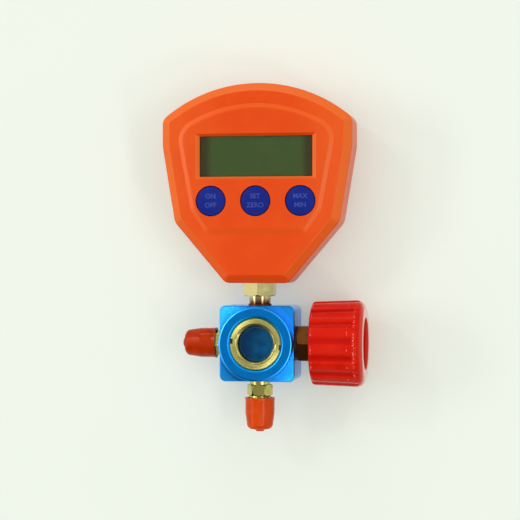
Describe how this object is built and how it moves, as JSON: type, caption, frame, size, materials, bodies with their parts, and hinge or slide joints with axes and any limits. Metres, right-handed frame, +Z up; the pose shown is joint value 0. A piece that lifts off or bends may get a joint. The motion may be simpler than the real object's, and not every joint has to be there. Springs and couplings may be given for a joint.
{
  "type": "refrigerant manifold gauge",
  "caption": "Digital refrigerant manifold gauge: display head on a cross-drilled block with a sight glass, capped flare ports and a fluted hand valve.",
  "frame": {"origin": "centre of the manifold block's flat back face", "axes": "+Z up towards the display head, -Y out of the display and sight glass, +X out of the hand valve"},
  "size_m": [0.1006, 0.0432, 0.1729],
  "materials": {
    "orange_plastic": "satin moulded ABS",
    "blue_plastic": "satin moulded ABS",
    "red_plastic": "glossy moulded plastic",
    "black_plastic": "matt",
    "white_plastic": "matt light guide",
    "clear_window": "clear, polished",
    "lcd_glass": "unlit reflective display glass",
    "sight_glass": "clear, polished",
    "blue_aluminium": "blue anodised, machined",
    "brass": "machined",
    "steel": "plated",
    "copper": "soft copper washer",
    "orange_vinyl": "dipped soft vinyl",
    "black_rubber": "matt seal",
    "ptfe": "waxy white",
    "board_green": "solder resist on laminate",
    "resin": "black potting resin",
    "ribbon": "flat flexible cable",
    "cell_jacket": "plain printed steel jacket"
  },
  "bodies": {
    "gauge_body": {"manifold_block": "blue_aluminium", "sight_glass_ring": "brass", "sight_glass": "sight_glass", "sight_glass_gasket": "black_rubber", "left_port": "brass", "bottom_port": "brass", "valve_bonnet": "brass", "bonnet_washer": "copper", "stem_packing": "ptfe", "packing_gland": "brass", "gauge_stem": "brass", "stem_washer": "copper", "stem_nut": "brass", "pressure_sensor": "steel", "sensor_washer": "copper", "sensor_ribbon": "ribbon", "ribbon_socket": "white_plastic", "front_cover": "orange_plastic", "rear_cover": "orange_plastic", "case_screws": "steel", "display_window": "clear_window", "lcd_panel": "lcd_glass", "lcd_frame": "black_plastic", "backlight": "white_plastic", "display_connector": "black_rubber", "circuit_board": "board_green", "board_screws": "steel", "control_chip": "resin", "switch_housings": "black_plastic", "battery_cells": "cell_jacket", "battery_contacts": "steel", "battery_springs": "steel"},
    "left_key": {"left_button": "blue_plastic", "left_switch_plunger": "black_plastic"},
    "middle_key": {"middle_button": "blue_plastic", "middle_switch_plunger": "black_plastic"},
    "right_key": {"right_button": "blue_plastic", "right_switch_plunger": "black_plastic"},
    "valve_closer": {"valve_disc": "ptfe", "disc_holder": "brass"},
    "hand_valve": {"valve_stem": "brass", "hand_knob": "red_plastic", "knob_washer": "steel", "knob_screw": "steel"},
    "left_cap": {"left_port_cap": "orange_vinyl"},
    "bottom_cap": {"bottom_port_cap": "orange_vinyl"},
    "door": {"battery_door": "orange_plastic"}
  },
  "joints": [
    {"name": "left_button_press", "type": "slide", "parent": "gauge_body", "child": "left_key", "axis": [0, 1, 0], "range_m": [0, 0.0008], "stiffness_N_per_m": 600, "springref_m": -0.0005},
    {"name": "middle_button_press", "type": "slide", "parent": "gauge_body", "child": "middle_key", "axis": [0, 1, 0], "range_m": [0, 0.0008], "stiffness_N_per_m": 600, "springref_m": -0.0005},
    {"name": "right_button_press", "type": "slide", "parent": "gauge_body", "child": "right_key", "axis": [0, 1, 0], "range_m": [0, 0.0008], "stiffness_N_per_m": 600, "springref_m": -0.0005},
    {"name": "valve_lift", "type": "slide", "parent": "gauge_body", "child": "valve_closer", "axis": [1, 0, 0], "range_m": [0, 0.00375]},
    {"name": "knob_turn", "type": "hinge", "parent": "valve_closer", "child": "hand_valve", "pos_m": [0, -0.015, 0], "axis": [1, 0, 0], "range_deg": [0, 1080]},
    {"name": "left_cap_pull", "type": "slide", "parent": "gauge_body", "child": "left_cap", "axis": [-1, 0, 0], "range_m": [0, 0.018]},
    {"name": "bottom_cap_pull", "type": "slide", "parent": "gauge_body", "child": "bottom_cap", "axis": [0, 0, -1], "range_m": [0, 0.018]},
    {"name": "battery_door_swing", "type": "hinge", "parent": "gauge_body", "child": "door", "pos_m": [0, -0.002, 0.08325], "axis": [-1, 0, 0], "range_deg": [0, 90]}
  ],
  "couplings": [
    {"joint": "knob_turn", "follows": "valve_lift", "rad_per_m": 5026.5}
  ]
}
